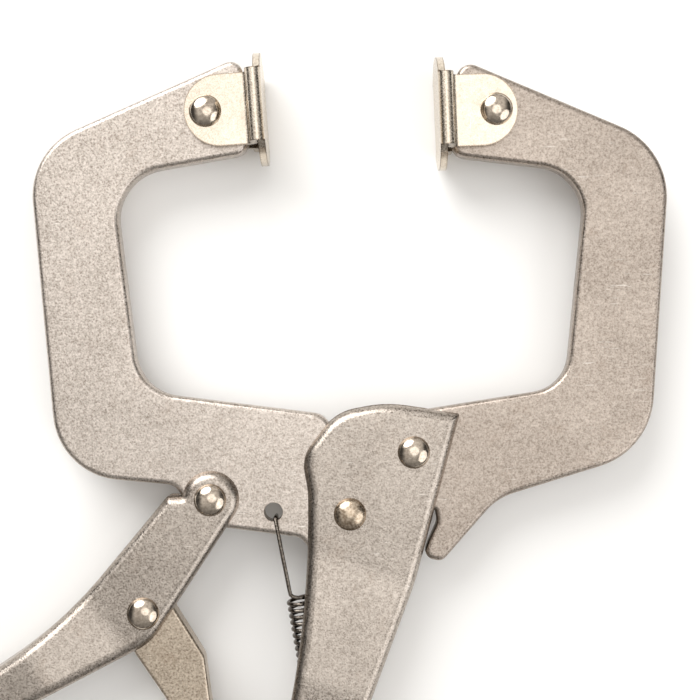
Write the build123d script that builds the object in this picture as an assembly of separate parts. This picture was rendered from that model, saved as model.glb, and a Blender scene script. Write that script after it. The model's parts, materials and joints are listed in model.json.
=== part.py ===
"""Locking C-clamp pliers with swivel pads, lying flat, jaws fully open.

The model is drawn about the jaw pivot: X across the tool, Y from the handles
towards the jaws, Z through the thickness, with the tool's mid-plane at Z = 0.
At the end every piece is moved so that the origin is the bottom centre of the
whole tool. All sizes are millimetres, all angles degrees.
"""

from build123d import *
from math import atan2, cos, hypot, radians, sin, tan
import os

# ---------------------------------------------------------------- driving sizes
JAW_PLATE = 6.0  # thickness of both C-jaws and of the toggle link
JAW_EDGE = 1.3  # rounding of the forged jaw edges
SHEET = 2.0  # steel sheet of the two handles
PLATE_GAP = 0.15  # play between a plate and each cheek beside it
FOLD_RADIUS = 2.7  # outer radius of a folded sheet

RIVET_SHANK = 2.5
RIVET_HOLE = 2.55
RIVET_HEAD = 4.0
RIVET_DOME = 2.2

CHEEK_IN = JAW_PLATE / 2 + PLATE_GAP  # inner face of a cheek beside the plates
CHEEK_OUT = CHEEK_IN + SHEET
GRIP_IN = 5.5  # inner half width of the fixed handle's grip
GRIP_OUT = GRIP_IN + SHEET
LEVER_IN = 6.0  # inner half width of the lever's grip
LEVER_OUT = LEVER_IN + SHEET
FAR = 90.0  # reach of cutting shapes, well past the sheet that they cut

# ---------------------------------------------------------------- pivots (X, Y)
JAW_PIVOT = (0.0, 0.0)
LEVER_PIVOT = (-34.5, 3.5)
LINK_PIVOT = (-51.0, -24.5)
NOSE = (-20.0, -86.0)  # nose of the toggle link, facing the adjusting screw
FIXED_JAW_RIVET = (15.75, 15.25)
MOVING_PAD_PIVOT = (-35.75, 99.5)
FIXED_PAD_PIVOT = (36.15, 100.0)
MOVING_PAD_FACING = 4.2  # direction of each pad's face at rest
FIXED_PAD_FACING = 182.4
SPRING_HOLE = (-19.0, 0.35)
SPRING_HOLE_RADIUS = 2.35
SPRING_ANCHOR = (-7.2, -50.0)
ANCHOR_RADIUS = 1.5

# ---------------------------------------------------------------- adjusting screw
SCREW_LEAN = 18.0  # angle between the screw and the Y axis
SCREW_RADIUS = 4.0
SCREW_CLEAR = 0.05
SCREW_TIP = 6.7  # tip of the screw, measured along it from the nose
CHANNEL_END = 66.0
BUSH_LENGTH = 14.0
BUSH_SETBACK = 2.0
KNOB_START = 69.0
KNOB_LENGTH = 15.0
KNOB_RADIUS = 8.6
SPIGOT_RADIUS = 3.0
SPIGOT_LENGTH = 11.0

# ---------------------------------------------------------------- swivel pads
PAD_RADIUS = 14.0
PAD_SHEET = 1.8
PAD_FACE = 14.5  # face of the pad, from its rivet
PAD_TAB = 17.8  # width of the two tabs that are folded back into ears
PAD_HEM_GAP = 0.3
PAD_HEM_Z = 9.15  # centre line of the hem fold
PAD_EAR_IN = JAW_PLATE / 2 + 0.1
PAD_BEND_IN = 0.9
PAD_EAR_CENTRE = 3.6  # centre of the ear's round end, from the rivet

# ---------------------------------------------------------------- spring
WIRE_RADIUS = 0.5
COIL_RADIUS = 2.8
COIL_PITCH = 1.65
COIL_TURNS = 16
COIL_TOP = (-12.8, -21.0)
COIL_LEAN = 10.0

# ---------------------------------------------------------------- lever grip
LEVER_LEAN = 56.0  # direction of the lever's straight grip, from the -Y axis
LEVER_END_LEAN = 62.0
LEVER_BACK = (-85.5, -37.0)  # a point on the back of the straight grip
LEVER_STRAIGHT = 50.0
LEVER_END = 44.0
LEVER_DEPTH = 12.0

# ---------------------------------------------------------------- release lever
RELEASE_ALONG = 62.0  # its pivot, along the grip from the link pivot
RELEASE_IN = -2.6  # its pivot, towards the open side from the link pivot
RELEASE_HALF = 4.2
RELEASE_SHEET = 1.5
RELEASE_SHANK = 2.0
RELEASE_HOLE = 2.05
RELEASE_HEAD = 3.4
RELEASE_DOME = 1.5


# ================================================================ small helpers
def heading(lean):
    """Unit vector that points down the tool, leaning towards -X."""
    return (-sin(radians(lean)), -cos(radians(lean)))


def travel(point, direction, distance):
    """The point reached from point along a unit direction."""
    return (point[0] + direction[0] * distance, point[1] + direction[1] * distance)


def corner_arc(before, corner, after, radius):
    """Start, middle and end of the arc that rounds a corner of an outline."""
    into = (corner - before).normalized()
    out = (after - corner).normalized()
    half_turn = radians(into.get_angle(out)) / 2
    cut = radius * tan(half_turn)
    inward = (out - into).normalized()
    middle = corner + inward * (radius / cos(half_turn) - radius)
    return corner - into * cut, middle, corner + out * cut


def rounded_face(corners):
    """Face whose outline has corners (x, y, radius)."""
    points = [Vector(x, y) for x, y, radius in corners]
    arcs = []
    for index, (x, y, radius) in enumerate(corners):
        neighbours = points[index - 1], points[index], points[(index + 1) % len(points)]
        arcs.append(corner_arc(*neighbours, radius))
    edges = []
    for index, (start, middle, end) in enumerate(arcs):
        last_end = arcs[index - 1][2]
        if (start - last_end).length > 1e-4:
            edges.append(Edge.make_line(last_end, start))
        if (end - start).length > 1e-4:
            edges.append(Edge.make_three_point_arc(start, middle, end))
    return make_face(Wire(edges))


def slab(face, half):
    """Prism of a face, from -half to +half through the thickness."""
    return extrude(face, amount=half, both=True)


def rounded_plate(corners, thickness, edge):
    """Plate with rounded outer edges."""
    body = slab(rounded_face(corners), thickness / 2)
    rims = body.edges().filter_by(lambda e: abs(e.center().Z) > thickness / 2 - 0.01)
    return fillet(rims, edge)


def drilled(body, place, radius):
    """Body with a hole straight through it at (x, y)."""
    return body - Pos(place[0], place[1], 0) * Cylinder(radius, 2 * FAR)


def beside(points, distance):
    """Open outline moved sideways, to the left of its direction when positive."""
    moved = []
    for index, (x, y, radius) in enumerate(points):
        before = points[max(index - 1, 0)]
        after = points[min(index + 1, len(points) - 1)]
        first = atan2(y - before[1], x - before[0]) if index > 0 else None
        second = atan2(after[1] - y, after[0] - x) if index < len(points) - 1 else None
        first = second if first is None else first
        second = first if second is None else second
        half_turn = (second - first) / 2
        middle = first + half_turn
        reach = distance / cos(half_turn)
        new_radius = max(radius - distance * (1 if half_turn > 0 else -1), 0.2) if radius else 0
        moved.append((x - sin(middle) * reach, y + cos(middle) * reach, new_radius))
    return moved


def level_point(points, level):
    """Point at a given Y on the first run of an open outline."""
    first = points[0]
    second = points[1]
    fraction = (level - first[1]) / (second[1] - first[1])
    return (first[0] + (second[0] - first[0]) * fraction, level)


def width_block(origin, along, stations):
    """Block whose half width follows stations (distance along, half width)."""
    first = stations[0]
    last = stations[-1]
    inner = [(d, w, 25.0) for d, w in stations[1:-1]]
    upper = [(first[0], first[1], 0)] + inner + [(last[0], last[1], 0)]
    lower = [(d, -w, r) for d, w, r in reversed(upper)]
    side = (-along[1], along[0], 0)
    plane = Plane(origin=(origin[0], origin[1], 0), x_dir=(along[0], along[1], 0), z_dir=side)
    return extrude(plane * rounded_face(upper + lower), amount=2 * FAR, both=True)


def on_line(point, start, end, slack):
    """Whether a point lies on the segment between two points in the plane."""
    along = (end[0] - start[0], end[1] - start[1])
    length = hypot(*along)
    offset = (point.X - start[0], point.Y - start[1])
    reach = (offset[0] * along[0] + offset[1] * along[1]) / length
    aside = abs(offset[0] * along[1] - offset[1] * along[0]) / length
    return aside < slack and -slack < reach < length + slack


def fold_edges(body, spine, slack):
    """Long edges of a block that lie on the outline of its spine."""
    found = []
    for edge in body.edges():
        middle = edge @ 0.5
        sharp = abs(middle.Z) > 1.0 and (edge.bounding_box().size.Z < 0.7 * edge.length)
        near = any(on_line(middle, a, b, slack) for a, b in zip(spine, spine[1:]))
        if sharp and near:
            found.append(edge)
    return found


def rivet(place, grip, shank=RIVET_SHANK, head=RIVET_HEAD, dome=RIVET_DOME):
    """Rivet through the thickness, with a dome on the outside of both cheeks."""
    ball = (head * head + dome * dome) / (2 * dome)
    cap = Pos(0, 0, grip + dome - ball) * Sphere(ball)
    cap = cap & Pos(0, 0, grip + dome / 2) * Cylinder(head + 1, dome)
    body = Cylinder(shank, 2 * grip) + cap + mirror(cap, about=Plane.XY)
    return Pos(place[0], place[1], 0) * body


# ================================================================ jaws
def moving_jaw():
    """Moving C-jaw, with its round hub on the jaw pivot."""
    hub = 11.5
    corners = [
        (-27.1, 113.6, 3.0),
        (-80.1, 90.0, 18.0),
        (-72.5, 9.5, 17.5),
        (-42.7, 6.9, 4.5),
        (-39.9, -2.5, 5.0),
        (-12.5, -6.05, 3.0),
        (-7.5, -hub, 3.0),
        (hub, -hub, hub),
        (hub, hub, hub),
        (-4.6, hub, 2.0),
        (-4.6, 24.3, 4.9),
        (-52.2, 30.2, 11.6),
        (-59.0, 83.4, 12.5),
        (-24.9, 89.4, 4.0),
    ]
    body = rounded_plate(corners, JAW_PLATE, JAW_EDGE)
    for place in (JAW_PIVOT, LEVER_PIVOT, MOVING_PAD_PIVOT):
        body = drilled(body, place, RIVET_HOLE)
    return drilled(body, SPRING_HOLE, SPRING_HOLE_RADIUS)


def fixed_jaw():
    """Fixed C-jaw, let into the head of the channel, with its heel beside it."""
    corners = [
        (26.9, 113.1, 3.5),
        (24.9, 88.8, 4.0),
        (59.05, 84.8, 11.8),
        (53.7, 31.3, 10.0),
        (7.5, 23.9, 2.0),
        (7.5, 11.0, 2.0),
        (13.5, 3.5, 2.0),
        (17.0, 0.75, 1.5),
        (21.2, 0.75, 0.5),
        (21.7, -2.2, 3.0),
        (19.5, -7.0, 4.0),
        (18.0, -11.0, 2.3),
        (22.9, -12.05, 2.3),
        (36.6, 3.65, 15.0),
        (74.7, 15.5, 19.0),
        (79.7, 90.9, 19.0),
    ]
    body = rounded_plate(corners, JAW_PLATE, JAW_EDGE)
    body = drilled(body, FIXED_JAW_RIVET, RIVET_HOLE)
    return drilled(body, FIXED_PAD_PIVOT, RIVET_HOLE)


# ================================================================ fixed handle
SCREW_WAY = heading(SCREW_LEAN)
SCREW_SIDE = (-SCREW_WAY[1], SCREW_WAY[0])  # from the screw towards the spine


def beside_screw(along, side):
    """Point at a distance along the screw from the nose and beside its axis."""
    return travel(travel(NOSE, SCREW_WAY, along), SCREW_SIDE, side)


def handle_spine():
    """Back of the fixed handle, from its head down to its end."""
    end = beside_screw(CHANNEL_END, 8.3)
    return [(27.3, 24.75, 0.0), (16.1, -17.3, 60.0), beside_screw(22.0, 8.3) + (150.0,), end + (0.0,)]


def handle_outline():
    """Side view of the fixed handle."""
    spine = handle_spine()
    end = beside_screw(CHANNEL_END, -8.1)
    front = [
        end + (3.0,),
        (-44.4, -134.8, 150.0),
        (-17.0, -59.6, 140.0),
        (-10.3, -21.8, 250.0),
        (-10.5, 5.5, 12.0),
        (-12.1, 14.0, 9.0),
        (-3.6, 25.0, 13.0),
        (9.0, 27.4, 30.0),
    ]
    head = (spine[0][0], spine[0][1], 0.4)
    return [head] + spine[1:] + front


def fixed_handle():
    """Folded channel: two cheeks, a spine, and a slot for the fixed jaw."""
    spine = handle_spine()
    outer_widths = [(-170, CHEEK_OUT), (-76, CHEEK_OUT), (-46, GRIP_OUT), (90, GRIP_OUT)]
    inner_widths = [(-170, CHEEK_IN), (-76, CHEEK_IN), (-46, GRIP_IN), (90, GRIP_IN)]
    outer = slab(rounded_face(handle_outline()), 2 * GRIP_OUT)
    outer = outer & width_block(NOSE, SCREW_WAY, outer_widths)
    outer = fillet(fold_edges(outer, [(x, y) for x, y, r in spine], 1.2), FOLD_RADIUS)
    slot_floor = 0.5
    inside = beside(spine, -SHEET)
    past_end = travel(inside[-1][:2], SCREW_WAY, FAR / 3)
    hollow = [(FAR, slot_floor, 0.0), level_point(inside, slot_floor) + (0.0,)] + inside[1:-1]
    hollow += [past_end + (0.0,), (-FAR, past_end[1], 0.0), (-FAR, FAR, 0.0), (FAR, FAR, 0.0)]
    inner = slab(rounded_face(hollow), 2 * GRIP_OUT)
    inner = inner & width_block(NOSE, SCREW_WAY, inner_widths)
    body = outer - inner
    for place in (JAW_PIVOT, FIXED_JAW_RIVET):
        body = drilled(body, place, RIVET_HOLE)
    return drilled(body, SPRING_ANCHOR, ANCHOR_RADIUS + 0.05)


def spring_anchor():
    """Cross pin of the channel, with a low head on each cheek."""
    return rivet(SPRING_ANCHOR, GRIP_OUT, ANCHOR_RADIUS, 2.4, 0.7)


def along_screw(body, along):
    """Body drawn along +Z, turned to run down the screw axis from a distance."""
    place = beside_screw(along, 0)
    return Plane(origin=(place[0], place[1], 0), z_dir=(SCREW_WAY[0], SCREW_WAY[1], 0)) * body


def screw_bush():
    """Threaded bush that fills the end of the channel."""
    start = CHANNEL_END - BUSH_SETBACK - BUSH_LENGTH
    finish = CHANNEL_END - BUSH_SETBACK
    corners = [
        beside_screw(start, -6.6) + (4.0,),
        beside_screw(finish, -6.6) + (4.0,),
        beside_screw(finish, 8.3 - SHEET) + (0.5,),
        beside_screw(start, 8.3 - SHEET) + (0.5,),
    ]
    body = slab(rounded_face(corners), GRIP_IN)
    return body - along_screw(Cylinder(SCREW_RADIUS + SCREW_CLEAR, 3 * BUSH_LENGTH), finish)


def adjusting_screw():
    """Screw rod with a bevelled tip and a spigot for the knob."""
    length = KNOB_START - 0.1 - SCREW_TIP
    rod = Pos(0, 0, length / 2) * Cylinder(SCREW_RADIUS, length)
    rod = chamfer(rod.edges().group_by(Axis.Z)[0], 1.0)
    spigot = Pos(0, 0, length + SPIGOT_LENGTH / 2) * Cylinder(SPIGOT_RADIUS, SPIGOT_LENGTH)
    return along_screw(rod + spigot, SCREW_TIP)


def screw_knob():
    """Knob of the screw, with a neck and bevelled rims."""
    neck = 2.5
    drum_length = KNOB_LENGTH - neck
    drum = Pos(0, 0, neck + drum_length / 2) * Cylinder(KNOB_RADIUS, drum_length)
    drum = chamfer(drum.edges().filter_by(GeomType.CIRCLE), 1.2)
    collar = Pos(0, 0, neck / 2) * Cylinder(6.0, neck)
    bore = Pos(0, 0, SPIGOT_LENGTH / 2) * Cylinder(SPIGOT_RADIUS + SCREW_CLEAR, SPIGOT_LENGTH + 0.2)
    return along_screw(drum + collar - bore, KNOB_START)


# ================================================================ lever handle
GRIP_WAY = heading(LEVER_LEAN)
GRIP_IN_WAY = (-GRIP_WAY[1], GRIP_WAY[0])  # from the back towards the open side
END_WAY = heading(LEVER_END_LEAN)
END_IN_WAY = (-END_WAY[1], END_WAY[0])


def in_lever(along, inward):
    """Point given along the grip and towards its open side, from the link pivot."""
    return travel(travel(LINK_PIVOT, GRIP_WAY, along), GRIP_IN_WAY, inward)


def lever_spine():
    """Back of the lever, from the stop beside its lug down to its end."""
    bend = travel(LEVER_BACK, GRIP_WAY, LEVER_STRAIGHT)
    end = travel(bend, END_WAY, LEVER_END)
    return [(-45.2, 4.4, 1.2), (-71.9, -27.8, 115.0), bend + (150.0,), end + (4.0,)]


def lever_outline():
    """Side view of the lever."""
    spine = lever_spine()
    bend = travel(spine[2][:2], GRIP_IN_WAY, LEVER_DEPTH)
    end = travel(spine[3][:2], END_IN_WAY, LEVER_DEPTH)
    lug = 7.1
    lug_turn = 33.0
    reach = lug / cos(radians(lug_turn))
    x, y = LEVER_PIVOT
    tangents = [(reach * cos(radians(a)), reach * sin(radians(a))) for a in (0, 2 * lug_turn, 4 * lug_turn)]
    return spine + [
        end + (4.0,),
        bend + (150.0,),
        (-84.5, -49.9, 60.0),
        (-49.3, -32.2, 15.0),
    ] + [(x + dx, y + dy, lug - 0.1) for dx, dy in tangents] + [(-41.6, 4.4, 0.6)]


def lever_handle():
    """Folded channel of the lever, straddling the jaw at its lug."""
    spine = lever_spine()
    outer_widths = [(-150, CHEEK_OUT), (9, CHEEK_OUT), (29, LEVER_OUT), (200, LEVER_OUT)]
    inner_widths = [(-150, CHEEK_IN), (9, CHEEK_IN), (29, LEVER_IN), (200, LEVER_IN)]
    outer = slab(rounded_face(lever_outline()), 2 * LEVER_OUT)
    outer = outer & width_block(LINK_PIVOT, GRIP_WAY, outer_widths)
    outer = fillet(fold_edges(outer, [(x, y) for x, y, r in spine], 1.4), FOLD_RADIUS)
    stop = spine[0][1] - 0.5
    inside = beside([(x, y, r if r > 10 else 0) for x, y, r in spine], SHEET)
    past_end = travel(inside[-1][:2], END_WAY, 20.0)
    hollow = [(-FAR, stop, 0.0), level_point(inside, stop) + (0.0,)] + inside[1:-1] + [past_end + (0.0,)]
    hollow += [(past_end[0], -FAR * 2, 0.0), (FAR, -FAR * 2, 0.0), (FAR, FAR, 0.0), (-FAR, FAR, 0.0)]
    inner = slab(rounded_face(hollow), 2 * LEVER_OUT)
    inner = inner & width_block(LINK_PIVOT, GRIP_WAY, inner_widths)
    body = outer - inner
    for place in (LEVER_PIVOT, LINK_PIVOT):
        body = drilled(body, place, RIVET_HOLE)
    return drilled(body, in_lever(RELEASE_ALONG, RELEASE_IN), RELEASE_HOLE)


def release_lever():
    """Narrow folded lever with its nose towards the link and a finger tail."""
    top = [(28.5, 1.9, 2.0), (46.0, 1.9, 30.0), (74.0, 3.0, 40.0), (110.0, 12.0, 20.0), (121.0, 17.5, 1.0)]
    under = [(123.0, 13.2, 1.0), (110.0, 6.2, 30.0), (62.0, -6.3, 25.0), (33.0, -5.2, 4.0), (27.0, -2.0, 2.0)]
    outline = [in_lever(a, b) + (r,) for a, b, r in top + under]
    body = slab(rounded_face(outline), RELEASE_HALF)
    inside = beside(list(reversed([in_lever(a, b) + (r,) for a, b, r in top])), RELEASE_SHEET)
    reach = [in_lever(10.0, -30.0) + (0.0,), in_lever(140.0, -30.0) + (0.0,)]
    first = travel(inside[0][:2], GRIP_WAY, 12.0)
    last = travel(inside[-1][:2], GRIP_WAY, -12.0)
    hollow = [first + (0.0,)] + inside[1:-1] + [last + (0.0,)] + reach
    body = body - slab(rounded_face(hollow), RELEASE_HALF - RELEASE_SHEET)
    return drilled(body, in_lever(RELEASE_ALONG, RELEASE_IN), RELEASE_HOLE)


# ================================================================ toggle link
def toggle_link():
    """Strut from the lever to the nose, with a knee near the lever."""
    length = hypot(NOSE[0] - LINK_PIVOT[0], NOSE[1] - LINK_PIVOT[1])
    way = ((NOSE[0] - LINK_PIVOT[0]) / length, (NOSE[1] - LINK_PIVOT[1]) / length)
    side = (-way[1], way[0])
    nose = 4.0
    shape = [
        (-6.8, 6.2, 6.0),
        (-6.8, -6.9, 6.0),
        (8.0, -6.8, 20.0),
        (21.0, -5.0, 30.0),
        (34.0, -nose, 40.0),
        (length + nose, -nose, nose),
        (length + nose, nose, nose),
        (29.0, nose, 20.0),
        (16.4, 8.4, 5.0),
    ]
    corners = [travel(travel(LINK_PIVOT, way, s), side, w) + (r,) for s, w, r in shape]
    body = rounded_plate(corners, JAW_PLATE, 0.8)
    body = drilled(body, LINK_PIVOT, RIVET_HOLE)
    return drilled(body, NOSE, 2.0)


def link_nose_pin():
    """Cross pin pressed through the link's nose, sliding between the cheeks."""
    pin = Cylinder(2.0, 2 * (GRIP_IN - 0.25))
    pin = chamfer(pin.edges(), 0.4)
    return Pos(NOSE[0], NOSE[1], 0) * pin


# ================================================================ swivel pads
def swivel_pad(pivot, facing):
    """One folded stamping: round face, two hems, two ears on the jaw."""
    hem_in = PAD_HEM_GAP / 2
    hem_out = hem_in + PAD_SHEET
    hem_x = PAD_FACE - PAD_SHEET - hem_in
    disc = Pos(PAD_FACE - PAD_SHEET / 2, 0, 0) * Rot(0, 90, 0) * Cylinder(PAD_RADIUS, PAD_SHEET)
    chord = Box(4 * PAD_SHEET, PAD_TAB, PAD_RADIUS)
    back = hem_x - hem_out
    bend_z = PAD_EAR_IN + PAD_SHEET + PAD_BEND_IN
    bend_x = back - PAD_BEND_IN
    ear_z = PAD_EAR_IN + PAD_SHEET / 2
    body = disc
    for sign in (1, -1):
        body -= Pos(PAD_FACE, 0, sign * (PAD_HEM_Z + PAD_RADIUS / 2)) * chord
    for sign in (1, -1):
        ring = Rot(90, 0, 0) * (Cylinder(hem_out, PAD_TAB) - Cylinder(hem_in, PAD_TAB))
        ring = Pos(hem_x, 0, sign * PAD_HEM_Z) * ring
        body += ring & Pos(hem_x, 0, sign * (PAD_HEM_Z + 5)) * Box(10, PAD_TAB, 10)
        strip_height = PAD_HEM_Z - bend_z
        strip = Box(PAD_SHEET, PAD_TAB, strip_height)
        body += Pos(back + PAD_SHEET / 2, 0, sign * (bend_z + strip_height / 2)) * strip
        bend = Rot(90, 0, 0) * (Cylinder(PAD_BEND_IN + PAD_SHEET, PAD_TAB) - Cylinder(PAD_BEND_IN, PAD_TAB))
        bend = Pos(bend_x, 0, sign * bend_z) * bend
        body += bend & Pos(bend_x + 5, 0, sign * (bend_z - 5)) * Box(10, PAD_TAB, 10)
        ear = Pos((PAD_EAR_CENTRE + bend_x) / 2, 0, 0) * Box(bend_x - PAD_EAR_CENTRE, PAD_TAB, PAD_SHEET)
        ear += Pos(PAD_EAR_CENTRE, 0, 0) * Cylinder(PAD_TAB / 2, PAD_SHEET)
        body += Pos(0, 0, sign * ear_z) * ear
    body -= Cylinder(RIVET_HOLE, 4 * JAW_PLATE)
    return Pos(pivot[0], pivot[1], 0) * Rot(0, 0, facing) * body


# ================================================================ jaw spring
def wire(points, bend):
    """Round wire along straight runs joined by arcs."""
    path = FilletPolyline(*points, radius=bend)
    start = Plane(origin=path @ 0, z_dir=path % 0)
    return sweep(start * Circle(WIRE_RADIUS), path=path)


def jaw_spring():
    """Tension coil with a hook in the jaw's hole and a hook round the anchor."""
    lean = heading(-COIL_LEAN)
    height = COIL_PITCH * COIL_TURNS
    helix = Helix(pitch=COIL_PITCH, height=height, radius=COIL_RADIUS)
    start = Plane(origin=helix @ 0, z_dir=helix % 0)
    coil = sweep(start * Circle(WIRE_RADIUS), path=helix, is_frenet=True)
    frame = Plane(
        origin=(COIL_TOP[0], COIL_TOP[1], 0),
        x_dir=(0, 0, 1),
        z_dir=(lean[0], lean[1], 0),
    )
    coil = frame * coil
    first = frame.from_local_coords(helix @ 0)
    last = frame.from_local_coords(helix @ 1)
    front = JAW_PLATE / 2 + WIRE_RADIUS + 0.1
    hole_side = (SPRING_HOLE[0] + 0.5, SPRING_HOLE[1] - SPRING_HOLE_RADIUS + WIRE_RADIUS + 0.35)
    upper = wire(
        [
            (hole_side[0] - 0.3, hole_side[1] - 2.6, -front),
            (hole_side[0], hole_side[1], -front),
            (hole_side[0], hole_side[1], front),
            (-14.9, -20.0, COIL_RADIUS),
            (first.X, first.Y, first.Z),
        ],
        WIRE_RADIUS + 0.1,
    )
    loop = ANCHOR_RADIUS + WIRE_RADIUS + 0.2
    x, y = SPRING_ANCHOR
    lower = wire(
        [
            (last.X, last.Y, last.Z),
            (x + loop, y + 6.0, 0.0),
            (x + loop, y - loop, 0.0),
            (x - loop, y - loop, 0.0),
            (x - loop, y + loop * 0.8, 0.0),
        ],
        [0.8, loop - 0.2, loop - 0.2],
    )
    return coil + upper + lower


# ================================================================ whole tool
def all_parts():
    """Every piece of the tool by node name, drawn about the jaw pivot."""
    release_pivot = in_lever(RELEASE_ALONG, RELEASE_IN)
    ear_out = PAD_EAR_IN + PAD_SHEET
    return {
        "fixed_handle": fixed_handle(),
        "fixed_jaw": fixed_jaw(),
        "fixed_jaw_rivet": rivet(FIXED_JAW_RIVET, CHEEK_OUT),
        "jaw_pivot_rivet": rivet(JAW_PIVOT, CHEEK_OUT),
        "spring_anchor": spring_anchor(),
        "screw_bush": screw_bush(),
        "adjusting_screw": adjusting_screw(),
        "screw_knob": screw_knob(),
        "moving_jaw": moving_jaw(),
        "lever_handle": lever_handle(),
        "lever_rivet": rivet(LEVER_PIVOT, CHEEK_OUT),
        "link_rivet": rivet(LINK_PIVOT, CHEEK_OUT),
        "toggle_link": toggle_link(),
        "link_nose_pin": link_nose_pin(),
        "release_lever": release_lever(),
        "release_rivet": rivet(release_pivot, LEVER_OUT, RELEASE_SHANK, RELEASE_HEAD, RELEASE_DOME),
        "moving_pad": swivel_pad(MOVING_PAD_PIVOT, MOVING_PAD_FACING),
        "moving_pad_rivet": rivet(MOVING_PAD_PIVOT, ear_out),
        "fixed_pad": swivel_pad(FIXED_PAD_PIVOT, FIXED_PAD_FACING),
        "fixed_pad_rivet": rivet(FIXED_PAD_PIVOT, ear_out),
        "jaw_spring": jaw_spring(),
    }


def main():
    """Build every piece, centre the tool on its origin and write the files."""
    os.makedirs("parts", exist_ok=True)
    parts = all_parts()
    boxes = [body.bounding_box() for body in parts.values()]
    low = [min(getattr(box.min, axis) for box in boxes) for axis in "XYZ"]
    high = [max(getattr(box.max, axis) for box in boxes) for axis in "XYZ"]
    shift = Pos(-(low[0] + high[0]) / 2, -(low[1] + high[1]) / 2, -low[2])
    for name, body in parts.items():
        placed = shift * body
        placed.label = name
        export_step(placed, f"parts/{name}.step")
    print("origin shift", shift.position)
    print("size", [top - bottom for top, bottom in zip(high, low)])


main()
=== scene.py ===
"""Locking C-clamp pliers with swivel pads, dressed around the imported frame.

The plates, folded sheets and pads keep the frame's own shapes and get their
finishes here. The rivets, the return spring, the threaded screw and the
knurled knob are made in finer detail and stand in for their plain nodes.
"""

import json
import logging
import math
from collections.abc import Sequence
from dataclasses import dataclass, field
from enum import Enum

import bmesh
import bpy
from mathutils import Matrix, Vector


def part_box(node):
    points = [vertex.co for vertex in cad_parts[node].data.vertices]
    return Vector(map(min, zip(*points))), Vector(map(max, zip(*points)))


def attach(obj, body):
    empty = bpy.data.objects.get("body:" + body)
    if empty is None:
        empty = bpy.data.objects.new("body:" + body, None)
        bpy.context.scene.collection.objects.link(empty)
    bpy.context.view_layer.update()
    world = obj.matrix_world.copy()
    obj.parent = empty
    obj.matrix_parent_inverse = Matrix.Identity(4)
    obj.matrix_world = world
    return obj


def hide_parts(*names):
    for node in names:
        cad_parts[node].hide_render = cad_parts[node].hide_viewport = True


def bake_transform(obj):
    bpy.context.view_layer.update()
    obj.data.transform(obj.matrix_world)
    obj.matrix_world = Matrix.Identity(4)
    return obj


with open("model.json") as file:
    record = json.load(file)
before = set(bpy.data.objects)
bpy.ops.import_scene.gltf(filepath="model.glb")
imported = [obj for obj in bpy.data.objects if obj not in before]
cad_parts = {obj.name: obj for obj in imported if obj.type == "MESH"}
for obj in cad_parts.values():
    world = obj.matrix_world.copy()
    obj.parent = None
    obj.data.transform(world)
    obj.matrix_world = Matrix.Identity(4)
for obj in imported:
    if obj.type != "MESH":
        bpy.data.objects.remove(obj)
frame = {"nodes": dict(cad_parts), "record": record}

log = logging.getLogger("locking_pliers")

MM = 0.001
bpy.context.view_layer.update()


# ---------------------------------------------------------------- the frame
def joint_record(name: str) -> dict:
    """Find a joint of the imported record.

    Args:
        name: The joint's name in behaviour.joints.

    Returns:
        The joint's own dictionary.
    """
    joints = frame["record"]["behaviour"]["joints"]
    return next(joint for joint in joints if joint["name"] == name)


def joint_place(name: str) -> Vector:
    """Point that a hinge turns about, in metres."""
    return Vector(joint_record(name)["pos_m"])


PIVOT = joint_place("jaw_pivot")
SCREW_WAY = Vector(joint_record("screw_advance")["axis"]).normalized()


def from_pivot(across: float, along: float, rise: float = 0.0) -> Vector:
    """Point given in millimetres from the jaw pivot on the tool's mid-plane.

    Args:
        across: Distance towards the fixed jaw.
        along: Distance towards the jaw tips.
        rise: Distance above the mid-plane.

    Returns:
        The point in metres in the frame.
    """
    return PIVOT + Vector((across, along, rise)) * MM


# ---------------------------------------------------------------- node trees
ARITHMETIC = "ShaderNodeMath"
NOISE = "ShaderNodeTexNoise"
RANGE = "ShaderNodeMapRange"
MIX = "ShaderNodeMix"
SPLIT = "ShaderNodeSeparateXYZ"
COMBINE = "ShaderNodeCombineXYZ"

# Where a Mix node set to colours has its sockets, among those of its other kinds.
MIX_FACTOR, MIX_FIRST, MIX_SECOND, MIX_RESULT = 0, 6, 7, 2


def add_node(
    tree: bpy.types.NodeTree, kind: str, inputs: dict | Sequence = (), **settings
) -> bpy.types.Node:
    """Add a node with its settings, values and links.

    Args:
        tree: The shader or geometry tree that gets the node.
        kind: The node's bpy type name.
        inputs: Values by input name or index, or in the order of the inputs. An output
            socket is linked, and so is a node, from its first output.
        **settings: Properties of the node itself.

    Returns:
        The new node.
    """
    node = tree.nodes.new(kind)
    for name, value in settings.items():
        setattr(node, name, value)
    for key, value in inputs.items() if isinstance(inputs, dict) else enumerate(inputs):
        if isinstance(value, bpy.types.Node):
            value = value.outputs[0]
        if isinstance(value, bpy.types.NodeSocket):
            tree.links.new(value, node.inputs[key])
        else:
            node.inputs[key].default_value = value
    return node


def linear(code: str) -> tuple[float, float, float, float]:
    """Turn an sRGB hex colour into linear RGBA, by the standard's own curve.

    Args:
        code: Six hex digits after a hash sign.

    Returns:
        The linear colour with an alpha of one.
    """
    channels = [int(code[i : i + 2], 16) / 255 for i in (1, 3, 5)]
    curve = [c / 12.92 if c <= 0.04045 else ((c + 0.055) / 1.055) ** 2.4 for c in channels]
    return (*curve, 1.0)


# ---------------------------------------------------------------- finishes
BROWN_STAIN = "#7d6046"
BARE_SCRATCH = "#f4eee6"
# Dark brown for the edges: thin, worn plate, and painted shade that outlines every edge.
THIN_PLATE_AND_EDGE_SHADE = "#6a5744"
WHITE_PAPER = "#f7f6f4"
WARM_ROOM = "#fbf8f4"

# Nearly all of a noise lies in this band, which is spread over the whole range.
NOISE_BAND = (0.36, 0.64)
ROUGH_BAND = (0.3, 0.7)


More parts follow.
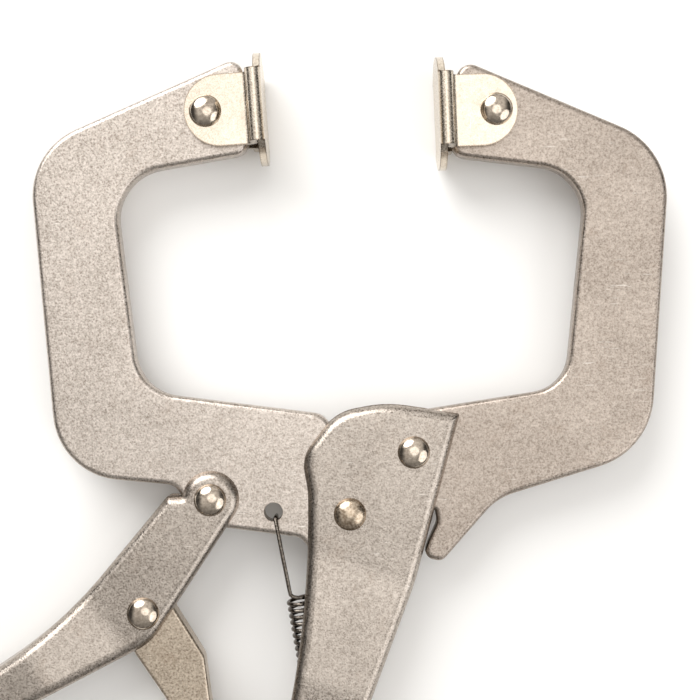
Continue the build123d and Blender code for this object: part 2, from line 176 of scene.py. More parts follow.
class Lay(Enum):
    """How a process lays scratches: their stretch on each axis and their turn in radians."""

    BLASTED = ((0.09, 1.0, 1.0), 0.9)
    PRESSED = ((1.0, 0.07, 1.0), 0.3)
    TURNED = ((0.09, 1.0, 1.0), 0.3)


@dataclass(frozen=True)
class NickelPlate:
    """Nickel-plated steel, with the texture of the surface under the plate.

    Nickel gives a warm, slightly yellow grey. Over blasted or pressed steel it
    is satin, with a fine sparkle from the grit. The plate is thin on the
    edges, which look brown and a little dull, and the same dark brown along
    every edge is also painted shade, a dark outline. Hairlines come from use.

    Blasting leaves pits of about 0.1 to 0.2 mm, and a hairline is narrower still. Both
    are too fine to show, so grit_mm and scratch_mm are as coarse as they need to
    be to show.
    """

    name: str
    light: str
    dark: str
    roughness: float
    grit_mm: float
    relief_mm: float
    lay: Lay = Lay.BLASTED
    tarnish: float = 0.15
    # Strength of the edges' dark brown: worn plate and painted shade together.
    edge_wear_and_shade: float = 0.55
    cloud_mm: float = 16.0
    edge_mm: float = 0.35
    coarse_grit: float = 2.6
    stain_patch: float = 0.45
    stain_band: tuple[float, float] = (0.55, 0.74)
    grit_tone: float = 0.62
    coarse_tone: float = 0.24
    cloud_tone: float = 0.14
    gloss_change: float = 0.08
    scratch_mm: float = 0.45
    scratch_tone: float = 0.45
    scratch_depth: float = 0.3
    scratch_band: tuple[float, float] = (0.66, 0.72)
    scuffed_mm: float = 9.0
    scuffed_band: tuple[float, float] = (0.5, 0.62)
    edge_band: tuple[float, float] = (0.985, 0.86)
    edge_samples: int = 6

    def material(self) -> bpy.types.Material:
        """Build the finish as a node material.

        Returns:
            The new material.
        """
        made = bpy.data.materials.new(self.name)
        made.use_nodes = True
        tree = made.node_tree
        tree.nodes.clear()
        place = add_node(tree, "ShaderNodeTexCoord").outputs["Object"]
        layers = []
        for size_mm, detail, rough in (
            (self.grit_mm, 2.0, 0.6),
            (self.grit_mm * self.coarse_grit, 2.0, 0.6),
            (self.cloud_mm, 3.0, 0.55),
            (self.cloud_mm * self.stain_patch, 5.0, 0.7),
        ):
            values = {"Vector": place, "Scale": 1 / (size_mm * MM), "Detail": detail, "Roughness": rough}
            layers.append(add_node(tree, NOISE, values))
        fine, coarse, cloud, patches = layers
        marks = self._marks(tree, place)
        edge = self._edge(tree)
        tone = add_node(tree, RANGE, (fine, *NOISE_BAND, 0.0, self.grit_tone))
        for layer, share in ((coarse, self.coarse_tone), (cloud, self.cloud_tone)):
            added = add_node(tree, RANGE, (layer, *NOISE_BAND, 0.0, share))
            tone = add_node(tree, ARITHMETIC, (tone, added), operation="ADD")
        stain = add_node(tree, RANGE, (patches, *self.stain_band, 0.0, self.tarnish))
        bared = add_node(tree, ARITHMETIC, (marks, self.scratch_tone), operation="MULTIPLY")
        # The edge mask darkens every edge, both as worn plate and as painted shade.
        worn_and_shaded = add_node(tree, ARITHMETIC, (edge, self.edge_wear_and_shade), operation="MULTIPLY")
        base = linear(self.dark)
        for amount, colour in (
            (tone, self.light), (stain, BROWN_STAIN), (bared, BARE_SCRATCH), (worn_and_shaded, THIN_PLATE_AND_EDGE_SHADE)
        ):
            values = {MIX_FACTOR: amount, MIX_FIRST: base, MIX_SECOND: linear(colour)}
            base = add_node(tree, MIX, values, data_type="RGBA").outputs[MIX_RESULT]
        gloss = (self.roughness - self.gloss_change, self.roughness + self.gloss_change)
        rough = add_node(tree, RANGE, (fine, *ROUGH_BAND, *gloss))
        cut = add_node(tree, ARITHMETIC, (marks, self.scratch_depth), operation="MULTIPLY")
        height = add_node(tree, ARITHMETIC, (fine, cut), operation="SUBTRACT")
        relief = {"Strength": 1.0, "Distance": self.relief_mm * MM, "Height": height}
        bump = add_node(tree, "ShaderNodeBump", relief)
        steel = {"Base Color": base, "Metallic": 1.0, "Roughness": rough, "Normal": bump}
        shader = add_node(tree, "ShaderNodeBsdfPrincipled", steel)
        add_node(tree, "ShaderNodeOutputMaterial", {"Surface": shader})
        return made

    def _marks(self, tree: bpy.types.NodeTree, place: bpy.types.NodeSocket) -> bpy.types.Node:
        """Lay sparse hairline scratches, long in one direction, in scuffed patches.

        Args:
            tree: The finish's tree.
            place: The point on the piece.

        Returns:
            A node that gives one on a scratch and zero elsewhere.
        """
        stretch, turn = self.lay.value
        spread = {"Vector": place, "Rotation": (0.0, 0.0, turn), "Scale": stretch}
        run = add_node(tree, "ShaderNodeMapping", spread)
        masks = []
        for where, size_mm, band in (
            (run, self.scratch_mm, self.scratch_band), (place, self.scuffed_mm, self.scuffed_band)
        ):
            values = {"Vector": where, "Scale": 1 / (size_mm * MM), "Detail": 2.0, "Roughness": 0.5}
            masks.append(add_node(tree, RANGE, (add_node(tree, NOISE, values), *band, 0.0, 1.0)))
        return add_node(tree, ARITHMETIC, masks, operation="MULTIPLY")

    def _edge(self, tree: bpy.types.NodeTree) -> bpy.types.Node:
        """Find the edges for worn plate and painted shade, where the rounded normal leaves the true one.

        Args:
            tree: The finish's tree.

        Returns:
            A node that gives one along edges and zero on flat faces.
        """
        soft = add_node(tree, "ShaderNodeBevel", {"Radius": self.edge_mm * MM}, samples=self.edge_samples)
        true = add_node(tree, "ShaderNodeNewGeometry").outputs["Normal"]
        match = add_node(tree, "ShaderNodeVectorMath", (soft, true), operation="DOT_PRODUCT")
        return add_node(tree, RANGE, (match.outputs["Value"], *self.edge_band, 0.0, 1.0))


@dataclass(frozen=True)
class Finishes:
    """The finishes of the whole tool, one for each kind of stock."""

    # Blasted plate under nickel: the palest satin, with a fine sparkle.
    moving_jaw: NickelPlate = NickelPlate("nickel_on_blasted_jaw", "#dbd1c8", "#8f857b", 0.33, 0.45, 0.045)
    # The same, painted darker: shade for the lesser light that falls on the fixed jaw.
    fixed_jaw: NickelPlate = NickelPlate("nickel_on_fixed_jaw_painted_shade", "#c2b6ab", "#7c7167", 0.33, 0.45, 0.045)
    # Blasted and folded sheet: an even grey satin.
    handle: NickelPlate = NickelPlate("nickel_on_blasted_sheet", "#c6bcb2", "#7a7168", 0.31, 0.42, 0.045)
    # Pressed bar: yellower, with marks along its length.
    link: NickelPlate = NickelPlate(
        "nickel_on_pressed_link", "#d3c5b3", "#928474", 0.33, 0.5, 0.035, Lay.PRESSED, 0.3
    )
    # Smooth folded sheet: the brightest, with dark edges of worn plate and painted shade.
    pad: NickelPlate = NickelPlate(
        "bright_nickel_on_folded_sheet", "#e4dacb", "#bdb09f", 0.25, 0.45, 0.02, Lay.PRESSED, 0.25, 0.9,
        16.0, 0.7,
    )
    # Peened and polished: a clear highlight with soft waves.
    rivet: NickelPlate = NickelPlate(
        "polished_nickel_rivet", "#dccfbf", "#a5988a", 0.15, 0.9, 0.004, Lay.TURNED, 0.2, 0.0, 5.0
    )
    # Rubbed through at the main pivot: dull and brown in patches.
    worn_rivet: NickelPlate = NickelPlate(
        "worn_nickel_rivet", "#d8c8b4", "#8c7a66", 0.26, 0.6, 0.02, Lay.PRESSED, 0.8, 0.0, 3.5
    )
    # Turned bar: smoother than sheet, with a soft highlight.
    screw: NickelPlate = NickelPlate(
        "nickel_on_turned_steel", "#d6cec4", "#9c9287", 0.26, 0.5, 0.006, Lay.TURNED
    )
    # Drawn wire: dark, with a narrow bright line along each coil.
    spring: NickelPlate = NickelPlate(
        "drawn_spring_wire", "#8d857c", "#453f39", 0.24, 0.5, 0.004, Lay.TURNED, 0.2, 0.0, 4.0
    )


# ---------------------------------------------------------------- mesh helpers
def plain_object(name: str, mesh: bpy.types.Mesh) -> bpy.types.Object:
    """Link an object for a mesh to the scene, at the origin.

    Args:
        name: The object's name.
        mesh: The mesh that it shows.

    Returns:
        The new object.
    """
    made = bpy.data.objects.new(name, mesh)
    bpy.context.scene.collection.objects.link(made)
    return made


def turned_mesh(name: str, profile: list[tuple[float, float]], segments: int) -> bpy.types.Mesh:
    """Closed solid of revolution about Z.

    Args:
        name: The mesh's name.
        profile: Points (radius, height) in metres, from the lower pole's ring to the upper one's.
        segments: Number of steps round the axis.

    Returns:
        The mesh, with a pole at each end.
    """
    shape = bmesh.new()
    low = shape.verts.new((0, 0, profile[0][1]))
    high = shape.verts.new((0, 0, profile[-1][1]))
    angles = [math.tau * i / segments for i in range(segments)]
    rings = []
    for radius, height in profile:
        circle = [(radius * math.cos(a), radius * math.sin(a), height) for a in angles]
        rings.append([shape.verts.new(point) for point in circle])
    for i in range(segments):
        following = (i + 1) % segments
        shape.faces.new((low, rings[0][following], rings[0][i]))
        shape.faces.new((high, rings[-1][i], rings[-1][following]))
        for below, above in zip(rings, rings[1:]):
            shape.faces.new((below[i], below[following], above[following], above[i]))
    mesh = bpy.data.meshes.new(name)
    shape.to_mesh(mesh)
    shape.free()
    return mesh


def frame_along(origin: Vector, way: Vector) -> Matrix:
    """Matrix that puts local +Z along a direction at a point."""
    return Matrix.Translation(origin) @ way.to_track_quat("Z", "Y").to_matrix().to_4x4()


class GeometryTree:
    """A Geometry Nodes tree with named inputs, ending in real meshes with a material."""

    def __init__(self, name: str, inputs: dict[str, str]) -> None:
        """Make the empty tree.

        Args:
            name: The tree's name.
            inputs: Each extra input's name and socket type.
        """
        self.tree = bpy.data.node_groups.new(name, "GeometryNodeTree")
        face = self.tree.interface
        for way in ("INPUT", "OUTPUT"):
            face.new_socket("Geometry", in_out=way, socket_type="NodeSocketGeometry")
        for label, kind in {**inputs, "Material": "NodeSocketMaterial"}.items():
            face.new_socket(label, in_out="INPUT", socket_type=kind)
        self.entry = add_node(self.tree, "NodeGroupInput")

    def value(self, label: str) -> bpy.types.NodeSocket:
        """A named input of the tree."""
        return self.entry.outputs[label]

    def from_axis(self, apart: bpy.types.Node) -> bpy.types.Node:
        """Measure how far a point is from local Z.

        Args:
            apart: The node that splits the point into its coordinates.

        Returns:
            The node that gives the distance.
        """
        squares = [
            add_node(self.tree, ARITHMETIC, (side, 2.0), operation="POWER") for side in apart.outputs[:2]
        ]
        total = add_node(self.tree, ARITHMETIC, squares, operation="ADD")
        return add_node(self.tree, ARITHMETIC, (total,), operation="SQRT")

    def finish(self, geometry: bpy.types.Node) -> None:
        """Close the tree with smooth faces, real meshes and the material.

        Args:
            geometry: The node that gives the finished shape.
        """
        smooth = add_node(self.tree, "GeometryNodeSetShadeSmooth", (geometry,))
        real = add_node(self.tree, "GeometryNodeRealizeInstances", (smooth,))
        dressing = {0: real, "Material": self.value("Material")}
        dressed = add_node(self.tree, "GeometryNodeSetMaterial", dressing)
        add_node(self.tree, "NodeGroupOutput", (dressed,))

    def build(
        self, name: str, base: bpy.types.Mesh, values: dict, material: bpy.types.Material, place: Matrix
    ) -> bpy.types.Object:
        """Run the tree on a base mesh and keep the result as a plain mesh.

        Args:
            name: The new piece's name.
            base: The mesh that the tree starts from.
            values: The tree's inputs by name.
            material: The finish of the piece.
            place: Where the tree's own frame stands in the model.

        Returns:
            The finished piece, at the origin, with its place in its mesh.
        """
        source = plain_object(name + "_source", base)
        modifier = source.modifiers.new("build", "NODES")
        modifier.node_group = self.tree
        values = {**values, "Material": material}
        for item in self.tree.interface.items_tree:
            if item.in_out == "INPUT" and item.name in values:
                modifier[item.identifier] = values[item.name]
        graph = bpy.context.evaluated_depsgraph_get()
        mesh = bpy.data.meshes.new_from_object(source.evaluated_get(graph), depsgraph=graph)
        source.modifiers.remove(modifier)
        bpy.data.objects.remove(source)
        mesh.transform(place)
        mesh.name = name
        if not mesh.materials:
            mesh.materials.append(material)
        return plain_object(name, mesh)


# ---------------------------------------------------------------- sub-assemblies
@dataclass(frozen=True)
class RivetSize:
    """Radius of a rivet's shank and of its dome's foot, and the dome's height."""

    shank_mm: float
    head_mm: float
    dome_mm: float


PLATE_RIVET = RivetSize(shank_mm=2.5, head_mm=4.0, dome_mm=2.2)
RELEASE_RIVET = RivetSize(shank_mm=2.0, head_mm=3.4, dome_mm=1.5)
ANCHOR_PIN = RivetSize(shank_mm=1.5, head_mm=2.4, dome_mm=0.7)


@dataclass
class Rivets:
    """Every rivet and the anchor pin: a shank with a peened dome on each side."""

    tree: GeometryTree = field(init=False)
    rings: int = 14
    facets: int = 56
    skirt_share: float = 0.12
    crown: float = 2.15
    shoulder: float = 0.62

    def __post_init__(self) -> None:
        """Make the rivet tree: a shank with the same head on both of its ends."""
        sizes = ("Shank Radius", "Head Radius", "Dome Height", "Grip Half")
        self.tree = GeometryTree("peened_rivet", {label: "NodeSocketFloat" for label in sizes})
        tree = self.tree.tree
        grip = self.tree.value("Grip Half")
        rise = self.tree.value("Dome Height")
        skirt = add_node(tree, ARITHMETIC, (rise, self.skirt_share), operation="MULTIPLY")
        domed = self._head(skirt)
        half_skirt = add_node(tree, ARITHMETIC, (skirt, 0.5), operation="MULTIPLY")
        seat = add_node(tree, ARITHMETIC, (grip, half_skirt), operation="ADD")
        back = add_node(tree, ARITHMETIC, (seat, -2.0), operation="MULTIPLY")
        start, step = (add_node(tree, COMBINE, {"Z": height}) for height in (seat, back))
        line = {"Count": 2, "Start Location": start, "Offset": step}
        ends = add_node(tree, "GeometryNodeMeshLine", line)
        index = add_node(tree, "GeometryNodeInputIndex")
        half_turn = add_node(tree, ARITHMETIC, (index, math.pi), operation="MULTIPLY")
        turn = add_node(tree, COMBINE, {"X": half_turn})
        placing = {"Points": ends, "Instance": domed, "Rotation": turn}
        heads = add_node(tree, "GeometryNodeInstanceOnPoints", placing)
        length = add_node(tree, ARITHMETIC, (grip, 2.0), operation="MULTIPLY")
        bar = {"Vertices": self.facets, "Radius": self.tree.value("Shank Radius"), "Depth": length}
        shank = add_node(tree, "GeometryNodeMeshCylinder", bar)
        joined = add_node(tree, "GeometryNodeJoinGeometry")
        for part in (heads, shank):
            tree.links.new(part.outputs[0], joined.inputs[0])
        self.tree.finish(joined)

    def _head(self, skirt: bpy.types.Node) -> bpy.types.Node:
        """Raise one head: a short skirt with a flattened dome on it.

        Args:
            skirt: The node that gives the skirt's height.

        Returns:
            The node that gives the head, centred on its skirt.
        """
        tree = self.tree.tree
        radius = self.tree.value("Head Radius")
        rise = self.tree.value("Dome Height")
        disc = {
            "Vertices": self.facets,
            "Side Segments": 1,
            "Fill Segments": self.rings,
            "Radius": radius,
            "Depth": skirt,
        }
        button = add_node(tree, "GeometryNodeMeshCylinder", disc, fill_type="TRIANGLE_FAN")
        apart = add_node(tree, SPLIT, (add_node(tree, "GeometryNodeInputPosition"),))
        out = add_node(tree, ARITHMETIC, (self.tree.from_axis(apart), radius), operation="DIVIDE")
        share = add_node(tree, ARITHMETIC, (out, 1.0), operation="MINIMUM")
        fall = add_node(tree, ARITHMETIC, (share, self.crown), operation="POWER")
        left = add_node(tree, ARITHMETIC, (1.0, fall), operation="SUBTRACT")
        dome = add_node(tree, ARITHMETIC, (left, self.shoulder), operation="POWER")
        above = add_node(tree, ARITHMETIC, (rise, skirt), operation="SUBTRACT")
        lift = add_node(tree, ARITHMETIC, (dome, above), operation="MULTIPLY")
        upper = add_node(tree, ARITHMETIC, (apart.outputs["Z"], 0.0), operation="GREATER_THAN")
        raised = add_node(tree, ARITHMETIC, (lift, upper), operation="MULTIPLY")
        moved = {0: button, "Offset": add_node(tree, COMBINE, {"Z": raised})}
        return add_node(tree, "GeometryNodeSetPosition", moved)

    def add(self, node: str, body: str, size: RivetSize, finish: bpy.types.Material) -> None:
        """Make one rivet in the place of its node.

        Args:
            node: The frame's node that the rivet stands for.
            body: The body that it moves with.
            size: The rivet's sizes.
            finish: The rivet's finish.
        """
        low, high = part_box(node)
        values = {
            "Shank Radius": size.shank_mm * MM,
            "Head Radius": size.head_mm * MM,
            "Dome Height": size.dome_mm * MM,
            "Grip Half": (high.z - low.z) / 2 - size.dome_mm * MM,
        }
        base = bpy.data.meshes.new(node + "_base")
        place = Matrix.Translation((low + high) / 2)
        piece = self.tree.build(node + "_peened", base, values, finish, place)
        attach(piece, body)
        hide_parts(node)
        log.info("rivet %s on %s", node, body)


@dataclass
class JawSpring:
    """Return spring of the moving jaw: one wire with a close coil and two hooks.

    The places are in millimetres: top, hole, anchor and leg from the jaw pivot,
    hook from the hole, and tail from the anchor.
    """

    finish: bpy.types.Material
    wire_mm: float = 0.5
    coil_mm: float = 2.8
    pitch_mm: float = 1.65
    turns: int = 16
    steps: int = 28
    sides: int = 12
    lean: float = math.radians(10.0)
    top: tuple[float, float] = (-12.8, -21.0)
    hole: tuple[float, float] = (-18.5, -1.15)
    anchor: tuple[float, float] = (-7.2, -50.0)
    hook: tuple[tuple[float, float, float], ...] = (
        (-0.35, -2.4, -3.6),
        (-0.1, -0.5, -3.6),
        (0.0, 0.0, -3.1),
        (0.0, 0.0, 0.0),
        (0.0, 0.0, 3.1),
        (0.08, -0.5, 3.6),
    )
    leg: tuple[tuple[float, float, float], ...] = (
        (-16.9, -9.6, 3.3),
        (-15.0, -19.2, 2.95),
        (-14.75, -20.2, 2.85),
        (-14.1, -20.75, 2.8),
    )
    tail: tuple[float, float, float] = (1.0, 4.4, 1.4)
    loop_mm: float = 2.2
    loop_degrees: range = range(20, -221, -20)

    def path(self) -> list[Vector]:
        """Points of the wire's centre line, from the jaw's hole to the anchor pin.

        Returns:
            The points in metres in the frame.
        """
        hole, anchor = from_pivot(*self.hole), from_pivot(*self.anchor)
        points = [hole + Vector(offset) * MM for offset in self.hook]
        points += [from_pivot(*place) for place in self.leg]
        way = Vector((math.sin(self.lean), -math.cos(self.lean), 0.0))
        side = Vector((math.cos(self.lean), math.sin(self.lean), 0.0))
        origin = from_pivot(*self.top)
        for i in range(self.turns * self.steps + 1):
            angle = math.tau * i / self.steps
            reach = side * math.sin(angle) + Vector((0, 0, math.cos(angle)))
            points.append(origin + (way * self.pitch_mm * i / self.steps + reach * self.coil_mm) * MM)
        points.append(anchor + Vector(self.tail) * MM)
        for angle in map(math.radians, self.loop_degrees):
            points.append(anchor + Vector((math.cos(angle), math.sin(angle), 0.0)) * self.loop_mm * MM)
        return points

    def build(self) -> None:
        """Run the wire along its path, from the hole in the jaw to the pin in the handle."""
        wire = GeometryTree("round_wire", {"Wire Radius": "NodeSocketFloat", "Sides": "NodeSocketInt"})
        line = add_node(wire.tree, "GeometryNodeMeshToCurve", (wire.value("Geometry"),))
        circle = {"Resolution": wire.value("Sides"), "Radius": wire.value("Wire Radius")}
        section = add_node(wire.tree, "GeometryNodeCurvePrimitiveCircle", circle)
        sweep = {"Curve": line, "Profile Curve": section, "Fill Caps": True}
        wire.finish(add_node(wire.tree, "GeometryNodeCurveToMesh", sweep))
        base = bpy.data.meshes.new("spring_path")
        points = self.path()
        base.from_pydata(points, [(i, i + 1) for i in range(len(points) - 1)], [])
        values = {"Wire Radius": self.wire_mm * MM, "Sides": self.sides}
        piece = wire.build("return_spring", base, values, self.finish, Matrix.Identity(4))
        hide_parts("jaw_spring")
        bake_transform(piece)
        log.info("return spring of %d turns", self.turns)


@dataclass
class AdjustingScrew:
    """Threaded rod and knurled knob at the end of the fixed handle."""

    finish: bpy.types.Material
    radius_mm: float = 4.0
    pitch_mm: float = 1.25
    thread_mm: float = 0.68
    rings_a_turn: int = 8
    rod_facets: int = 48
    tip_bevel_mm: float = 1.0
    rod_end_gap_mm: float = 0.1
    plain_end_mm: float = 3.0
    knob_mm: float = 8.6
    knob_length_mm: float = 15.0
    neck_mm: float = 2.5
    neck_radius_mm: float = 6.0
    neck_edge_mm: float = 0.4
    fillet_mm: float = 0.2
    bevel_mm: float = 1.2
    land_mm: float = 0.05
    rim_mm: float = 2.6
    dish_mm: float = 0.5
    centre_mm: float = 0.6
    knurl_mm: float = 0.4
    knurl_pitch_mm: float = 1.5
    knurl_gap_mm: float = 0.1
    knurl_land_mm: float = 0.04
    knob_rings: int = 72
    knob_facets: int = 288
    near_axis: float = 1e-6

    def relief_tree(self, name: str, crossed: bool) -> GeometryTree:
        """Tree that cuts helical grooves into a turned surface.

        Args:
            name: The tree's name.
            crossed: Whether a second, opposite set of grooves makes diamonds.

        Returns:
            The tree, with the grooves' depth, rise, starts and limits as inputs.
        """
        sizes = ("Depth", "Rise", "Starts", "Low", "High", "Least Radius")
        relief = GeometryTree(name, {label: "NodeSocketFloat" for label in sizes})
        tree = relief.tree
        apart = add_node(tree, SPLIT, (add_node(tree, "GeometryNodeInputPosition"),))
        x, y, z = apart.outputs
        angle = add_node(tree, ARITHMETIC, (y, x), operation="ARCTAN2")
        turn = add_node(tree, ARITHMETIC, (angle, math.tau), operation="DIVIDE")
        around = add_node(tree, ARITHMETIC, (turn, relief.value("Starts")), operation="MULTIPLY")
        climb = add_node(tree, ARITHMETIC, (z, relief.value("Rise")), operation="DIVIDE")
        grooves = []
        for hand in ("SUBTRACT", "ADD") if crossed else ("SUBTRACT",):
            helix = add_node(tree, ARITHMETIC, (climb, around), operation=hand)
            flank = add_node(tree, ARITHMETIC, (helix, 0.5), operation="PINGPONG")
            grooves.append(add_node(tree, ARITHMETIC, (flank, 2.0), operation="MULTIPLY"))
        groove = add_node(tree, ARITHMETIC, grooves, operation="MAXIMUM") if crossed else grooves[0]
        flat = relief.from_axis(apart)
        cut = add_node(tree, ARITHMETIC, (groove, relief.value("Depth")), operation="MULTIPLY")
        for measure, test, limit in (
            (z, "GREATER_THAN", "Low"), (z, "LESS_THAN", "High"), (flat, "GREATER_THAN", "Least Radius")
        ):
            inside = add_node(tree, ARITHMETIC, (measure, relief.value(limit)), operation=test)
            cut = add_node(tree, ARITHMETIC, (cut, inside), operation="MULTIPLY")
        out = add_node(tree, ARITHMETIC, (flat, self.near_axis), operation="MAXIMUM")
        share = add_node(tree, ARITHMETIC, (cut, out), operation="DIVIDE")
        back = add_node(tree, ARITHMETIC, (share, -1.0), operation="MULTIPLY")
        scaled = {0: add_node(tree, COMBINE, {"X": x, "Y": y}), "Scale": back}
        inward = add_node(tree, "ShaderNodeVectorMath", scaled, operation="SCALE")
        moved = {0: relief.value("Geometry"), "Offset": inward}
        relief.finish(add_node(tree, "GeometryNodeSetPosition", moved))
        return relief

    def build_rod(self, knob_start: Vector) -> None:
        """Make the threaded rod.

        Args:
            knob_start: Point on the axis where the knob begins.
        """
        low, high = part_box("adjusting_screw")
        corners = [Vector((x, y, PIVOT.z)) for x in (low.x, high.x) for y in (low.y, high.y)]
        reach = max((knob_start - corner).dot(SCREW_WAY) for corner in corners)
        # The box's far corner lies beyond the leaning rod's end, by what its radius and lean give.
        slack = abs(SCREW_WAY.x) * self.radius_mm * MM
        length = reach - slack * 2 * abs(SCREW_WAY.y)
        steps = int(length / (self.pitch_mm * MM) * self.rings_a_turn)
        radius = self.radius_mm * MM
        bevel = self.tip_bevel_mm * MM
        first = bevel * 0.5
        profile = [(radius - bevel, 0.0)]
        for i in range(steps + 1):
            height = first + (length - first - self.rod_end_gap_mm * MM) * i / steps
            profile.append((min(radius, radius - bevel + height), height))
        base = turned_mesh("rod_base", profile, self.rod_facets)
        values = {
            "Depth": self.thread_mm * MM,
            "Rise": self.pitch_mm * MM,
            "Starts": 1.0,
            "Low": bevel * 0.6,
            "High": length - self.plain_end_mm * MM,
            "Least Radius": 0.0,
        }
        place = frame_along(knob_start - SCREW_WAY * length, SCREW_WAY)
        thread = self.relief_tree("screw_thread", False)
        piece = thread.build("threaded_rod", base, values, self.finish, place)
        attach(piece, "screw")
        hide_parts("adjusting_screw")
        log.info("threaded rod %.1f mm long", length / MM)

    def knob_outline(self) -> list[tuple[float, float]]:
        """Outline of the knob, from its neck to the dish in its end.

        Returns:
            Points (radius, height) in metres.
        """
        r, end, drum, bevel = self.knob_mm, self.knob_length_mm, self.neck_mm, self.bevel_mm
        neck, edge, fillet = self.neck_radius_mm, self.neck_edge_mm, self.fillet_mm
        land, rim, dish = self.land_mm, self.rim_mm, self.dish_mm
        span = end - drum - 2 * bevel
        outline = [(neck - edge, 0.0), (neck, edge), (neck, drum - fillet), (neck + fillet, drum)]
        outline += [(r - bevel, drum), (r - land, drum + bevel)]
        outline += [(r, drum + bevel + span * (i + 0.5) / self.knob_rings) for i in range(self.knob_rings)]
        outline += [(r - land, end - bevel), (r - bevel, end), (r - rim, end)]
        outline += [(r - rim - dish, end - dish), (self.centre_mm, end - dish)]
        return [(radius * MM, height * MM) for radius, height in outline]

    def build_knob(self, start: Vector) -> None:
        """Make the knurled knob.

        Args:
            start: Point on the axis where the knob begins.
        """
        base = turned_mesh("knob_base", self.knob_outline(), self.knob_facets)
        count = round(math.tau * self.knob_mm / self.knurl_pitch_mm)
        values = {
            "Depth": self.knurl_mm * MM,
            "Rise": self.knurl_pitch_mm * MM,
            "Starts": float(count),
            "Low": (self.neck_mm + self.bevel_mm + self.knurl_gap_mm) * MM,
            "High": (self.knob_length_mm - self.bevel_mm - self.knurl_gap_mm) * MM,
            "Least Radius": (self.knob_mm - self.knurl_land_mm) * MM,
        }
        knurl = self.relief_tree("diamond_knurl", True)
        piece = knurl.build("knurled_knob", base, values, self.finish, frame_along(start, SCREW_WAY))
        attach(piece, "knob")
        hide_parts("screw_knob")
        log.info("knurled knob with %d grooves each way", count)

    def build(self) -> None:
        """Make the rod and the knob."""
        start = joint_place("knob_spin")
        self.build_rod(start)
        self.build_knob(start)


@dataclass
class FrameDressing:
    """Finishes of the nodes whose own shapes are shown."""

    groups: dict[str, bpy.types.Material]

    def build(self) -> None:
        """Put each node's finish in its material slots."""
        for name, finish in self.groups.items():
            for slot in frame["nodes"][name].material_slots:
                slot.material = finish
            log.info("dressed %s with %s", name, finish.name)


# ---------------------------------------------------------------- studio
@dataclass(frozen=True)
class SoftLight:
    """A round area light that faces the tool."""

    name: str
    offset_m: tuple[float, float, float]
    width_m: float
    watts: float


@dataclass(frozen=True)
class Fade:
    """How the room's light changes between two places along one axis of the view around it."""

    axis: int
    start: float
    end: float
    first: float
    last: float


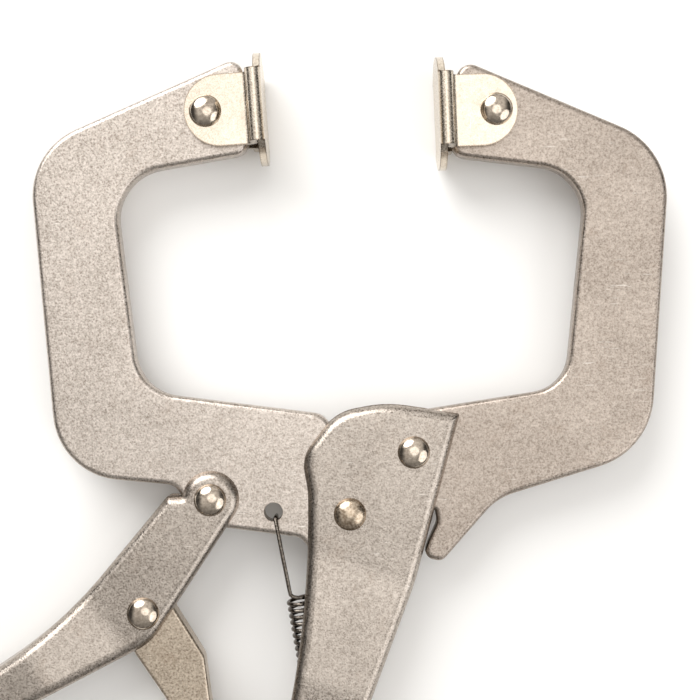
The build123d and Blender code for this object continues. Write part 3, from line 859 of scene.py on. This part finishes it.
@dataclass
class Studio:
    """Pale floor, soft lights and a camera straight above the tool."""

    aim: Vector
    field_mm: float = 175.0
    lens_mm: float = 75.0
    floor_m: float = 3.0
    floor_roughness: float = 0.9
    lights: tuple[SoftLight, ...] = (
        SoftLight("key", (-0.6, 1.0, 0.8), 1.3, 19.0),
        SoftLight("top", (0.1, 0.1, 1.4), 0.9, 2.5),
        SoftLight("fill", (1.0, -0.5, 0.8), 1.3, 8.0),
    )
    # Dark walls at both sides, then a dimmer front and a dimmer horizon.
    fades: tuple[Fade, ...] = (
        Fade(0, -0.86, -0.58, 0.0, 1.0),
        Fade(0, 0.5, 0.82, 1.0, 0.0),
        Fade(1, -0.85, 0.1, 0.3, 1.0),
        Fade(2, 0.0, 0.25, 0.15, 1.0),
    )
    room_light: float = 0.82
    wall_light: float = 0.08

    def floor(self) -> None:
        """Lay the floor under the tool."""
        mesh = bpy.data.meshes.new("studio_floor")
        half = self.floor_m
        corners = [(-half, -half, 0), (half, -half, 0), (half, half, 0), (-half, half, 0)]
        mesh.from_pydata(corners, [], [(0, 1, 2, 3)])
        # Matt paper: it takes soft shadows and shows no reflection of the tool.
        made = bpy.data.materials.new("white_paper")
        made.use_nodes = True
        shader = made.node_tree.nodes["Principled BSDF"]
        shader.inputs["Base Color"].default_value = linear(WHITE_PAPER)
        shader.inputs["Roughness"].default_value = self.floor_roughness
        mesh.materials.append(made)
        plain_object("studio_floor", mesh)

    def light(self, soft: SoftLight) -> None:
        """Hang one light.

        Args:
            soft: The light's name, place, width and power.
        """
        data = bpy.data.lights.new(soft.name, "AREA")
        data.shape = "DISK"
        data.size = soft.width_m
        data.energy = soft.watts
        offset = Vector(soft.offset_m)
        lamp = bpy.data.objects.new(soft.name, data)
        lamp.location = self.aim + offset
        lamp.rotation_euler = (-offset).to_track_quat("-Z", "Y").to_euler()
        bpy.context.scene.collection.objects.link(lamp)

    def camera(self) -> None:
        """Stand the camera straight above, with the jaw tips at the top of its view."""
        data = bpy.data.cameras.new("camera")
        data.lens = self.lens_mm
        distance = self.field_mm * MM * data.lens / data.sensor_width
        made = bpy.data.objects.new("camera", data)
        made.location = self.aim + Vector((0, 0, distance))
        bpy.context.scene.collection.objects.link(made)
        bpy.context.scene.camera = made

    def world(self) -> None:
        """Light the room from a long soft box overhead, with dark walls at both sides."""
        room = bpy.data.worlds.new("studio_room")
        room.use_nodes = True
        tree = room.node_tree
        way = add_node(tree, SPLIT, (add_node(tree, "ShaderNodeTexCoord").outputs["Generated"],))
        box = 1.0
        for fade in self.fades:
            limits = (fade.start, fade.end, fade.first, fade.last)
            side = add_node(tree, RANGE, (way.outputs[fade.axis], *limits))
            box = add_node(tree, ARITHMETIC, (box, side), operation="MULTIPLY")
        amounts = (box, self.room_light, self.wall_light)
        strength = add_node(tree, ARITHMETIC, amounts, operation="MULTIPLY_ADD")
        back = tree.nodes["Background"]
        back.inputs["Color"].default_value = linear(WARM_ROOM)
        tree.links.new(strength.outputs[0], back.inputs["Strength"])
        bpy.context.scene.world = room

    def build(self) -> None:
        """Make the whole studio, with colours shown as they are."""
        bpy.context.scene.view_settings.view_transform = "Standard"
        self.floor()
        self.world()
        for soft in self.lights:
            self.light(soft)
        self.camera()


# ---------------------------------------------------------------- the whole tool
AIM_ABOVE_PIVOT_MM = 40.5


def main() -> None:
    """Dress the frame, add the finer pieces and set up the studio."""
    logging.basicConfig(level=logging.INFO, format="%(name)s: %(message)s")
    finishes = Finishes()
    handle = finishes.handle.material()
    link = finishes.link.material()
    pad = finishes.pad.material()
    rivet = finishes.rivet.material()
    screw = finishes.screw.material()
    FrameDressing(
        {
            "fixed_jaw": finishes.fixed_jaw.material(),
            "moving_jaw": finishes.moving_jaw.material(),
            "fixed_handle": handle,
            "lever_handle": handle,
            "release_lever": handle,
            "toggle_link": link,
            "link_nose_pin": screw,
            "screw_bush": screw,
            "moving_pad": pad,
            "fixed_pad": pad,
        }
    ).build()
    rivets = Rivets()
    for node, body, size, finish in (
        ("fixed_jaw_rivet", "handle", PLATE_RIVET, rivet),
        ("jaw_pivot_rivet", "handle", PLATE_RIVET, finishes.worn_rivet.material()),
        ("lever_rivet", "lever", PLATE_RIVET, rivet),
        ("link_rivet", "lever", PLATE_RIVET, rivet),
        ("moving_pad_rivet", "moving_pad_body", PLATE_RIVET, rivet),
        ("fixed_pad_rivet", "fixed_pad_body", PLATE_RIVET, rivet),
        ("release_rivet", "lever", RELEASE_RIVET, rivet),
        ("spring_anchor", "handle", ANCHOR_PIN, rivet),
    ):
        rivets.add(node, body, size, finish)
    JawSpring(finishes.spring.material()).build()
    AdjustingScrew(screw).build()
    Studio(from_pivot(0.0, AIM_ABOVE_PIVOT_MM)).build()


if __name__ == "__main__":
    main()
